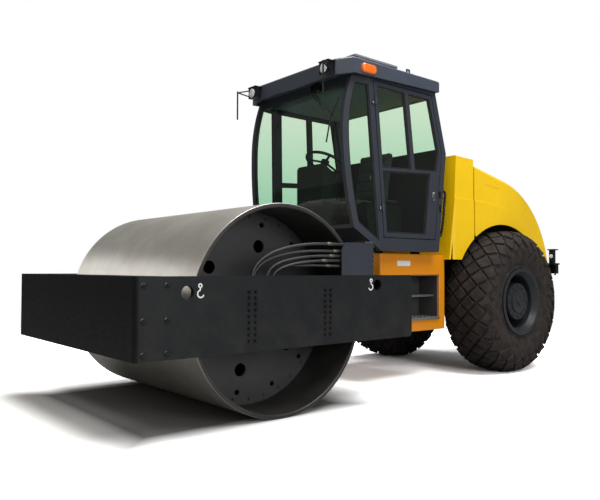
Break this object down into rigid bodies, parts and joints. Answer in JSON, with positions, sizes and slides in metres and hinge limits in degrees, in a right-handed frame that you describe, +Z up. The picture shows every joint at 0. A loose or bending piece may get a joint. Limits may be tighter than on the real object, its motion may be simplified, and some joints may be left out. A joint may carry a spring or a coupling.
{
  "type": "single-drum articulated road roller with cab",
  "caption": "Articulated soil compactor: smooth steel drum in a black frame ahead, glazed cab and yellow engine hood over two diamond-tread tyres behind, with open hitch and steering cylinders.",
  "frame": {"origin": "centre of the footprint at ground level", "axes": "+Z up, -Y forwards (drum end), +X the machine's left"},
  "size_m": [2.254, 5.88, 3.125],
  "materials": {
    "drum_steel": "rolled steel, worn bright",
    "black_paint": "satin black enamel",
    "black_gloss": "gloss black enamel",
    "machined_steel": "hard chrome",
    "buffer_rubber": "matt rubber",
    "cab_paint": "slate grey enamel",
    "hatch_plastic": "light grey",
    "yellow_paint": "gloss yellow enamel",
    "tread_plate": "worn tread plate",
    "hose_rubber": "braided hydraulic hose, dark",
    "amber_lens": "amber lamp lens",
    "tyre_rubber": "dusty black rubber",
    "rim_paint": "charcoal enamel",
    "tinted_glass": "green tinted safety glass",
    "dark_plastic": "moulded black",
    "seat_fabric": "dark woven seat cloth"
  },
  "bodies": {
    "rear_frame": {"chassis": "black_paint", "hitch_pins": "machined_steel", "rear_axle": "black_paint", "side_box_left": "yellow_paint", "side_box_right": "yellow_paint", "step_treads": "tread_plate", "arch_liners": "black_paint", "hose_bulkhead": "cab_paint", "cowl": "yellow_paint", "engine_block": "black_paint", "counterweight": "black_paint", "tail_lamps": "black_gloss", "cab_frame": "cab_paint", "cab_floor": "cab_paint", "cab_rear_wall": "cab_paint", "cab_mounts": "buffer_rubber", "cab_roof": "cab_paint", "roof_hatch": "hatch_plastic", "windscreen": "tinted_glass", "quarter_glass": "tinted_glass", "rear_glass": "tinted_glass", "seat_base": "dark_plastic", "side_consoles": "dark_plastic", "seat_cushion": "seat_fabric", "seat_back": "seat_fabric", "dash_console": "dark_plastic", "steering_wheel": "dark_plastic", "work_lamps": "black_gloss", "marker_lamps": "amber_lens", "handrails": "black_gloss", "wiper": "black_gloss"},
    "hitch": {"hitch_block": "black_paint"},
    "drum_frame": {"front_beam": "black_paint", "side_plate_left": "black_paint", "side_plate_right": "black_paint", "rear_cross_beam": "black_paint", "drum_scrapers": "black_paint", "drum_supports": "black_paint", "rubber_buffers": "buffer_rubber", "hose_guard": "cab_paint", "drum_hose_1": "hose_rubber", "drum_hose_2": "hose_rubber", "drum_hose_3": "hose_rubber", "drum_hose_4": "hose_rubber", "drum_hose_5": "hose_rubber"},
    "drum": {"drum_shell": "drum_steel", "drum_discs": "black_paint"},
    "steer_barrel_left": {"steering_barrel_left": "black_gloss"},
    "steer_barrel_right": {"steering_barrel_right": "black_gloss"},
    "steer_rod_left": {"steering_rod_left": "machined_steel"},
    "steer_rod_right": {"steering_rod_right": "machined_steel"},
    "wheel_left": {"tyre_left": "tyre_rubber", "rim_left": "rim_paint"},
    "wheel_right": {"tyre_right": "tyre_rubber", "rim_right": "rim_paint"},
    "door_left": {"door_left": "cab_paint", "door_glass_left": "tinted_glass"},
    "door_right": {"door_right": "cab_paint", "door_glass_right": "tinted_glass"},
    "hood": {"engine_hood": "yellow_paint"}
  },
  "joints": [
    {"name": "steer", "type": "hinge", "parent": "rear_frame", "child": "hitch", "pos_m": [0, -0.057, 0.785], "axis": [0, 0, 1], "range_deg": [-35, 35]},
    {"name": "oscillate", "type": "hinge", "parent": "hitch", "child": "drum_frame", "pos_m": [0, -0.357, 0.785], "axis": [0, 1, 0], "range_deg": [-10, 10]},
    {"name": "drum_spin", "type": "hinge", "parent": "drum_frame", "child": "drum", "pos_m": [0, -1.707, 0.8], "axis": [1, 0, 0], "continuous": true},
    {"name": "wheel_left_spin", "type": "hinge", "parent": "rear_frame", "child": "wheel_left", "pos_m": [0.792, 1.58, 0.765], "axis": [1, 0, 0], "continuous": true},
    {"name": "wheel_right_spin", "type": "hinge", "parent": "rear_frame", "child": "wheel_right", "pos_m": [-0.792, 1.58, 0.765], "axis": [1, 0, 0], "continuous": true},
    {"name": "barrel_left_swing", "type": "hinge", "parent": "rear_frame", "child": "steer_barrel_left", "pos_m": [0.25, 0.443, 0.785], "axis": [0, 0, 1], "range_deg": [-20, 20]},
    {"name": "barrel_right_swing", "type": "hinge", "parent": "rear_frame", "child": "steer_barrel_right", "pos_m": [-0.25, 0.443, 0.785], "axis": [0, 0, 1], "range_deg": [-20, 20]},
    {"name": "rod_left_slide", "type": "slide", "parent": "steer_barrel_left", "child": "steer_rod_left", "axis": [-0.0303, -0.9995, 0], "range_m": [-0.2, 0.2]},
    {"name": "rod_right_slide", "type": "slide", "parent": "steer_barrel_right", "child": "steer_rod_right", "axis": [0.0303, -0.9995, 0], "range_m": [-0.2, 0.2]},
    {"name": "door_left_swing", "type": "hinge", "parent": "rear_frame", "child": "door_left", "pos_m": [0.81199, -0.318, 1.28052], "axis": [-0.0436, -0.0511, 0.9977], "range_deg": [-110, 0]},
    {"name": "door_right_swing", "type": "hinge", "parent": "rear_frame", "child": "door_right", "pos_m": [-0.81199, -0.318, 1.28052], "axis": [0.0436, -0.0511, 0.9977], "range_deg": [0, 110]},
    {"name": "hood_tilt", "type": "hinge", "parent": "rear_frame", "child": "hood", "pos_m": [0, 1.07, 2.25], "axis": [1, 0, 0], "range_deg": [0, 50]}
  ],
  "couplings": [
    {"joint": "barrel_left_swing", "follows": "steer", "ratio": 0.2196},
    {"joint": "barrel_right_swing", "follows": "steer", "ratio": 0.2196},
    {"joint": "rod_left_slide", "follows": "steer", "m_per_rad": -0.2304},
    {"joint": "rod_right_slide", "follows": "steer", "m_per_rad": 0.2304}
  ]
}
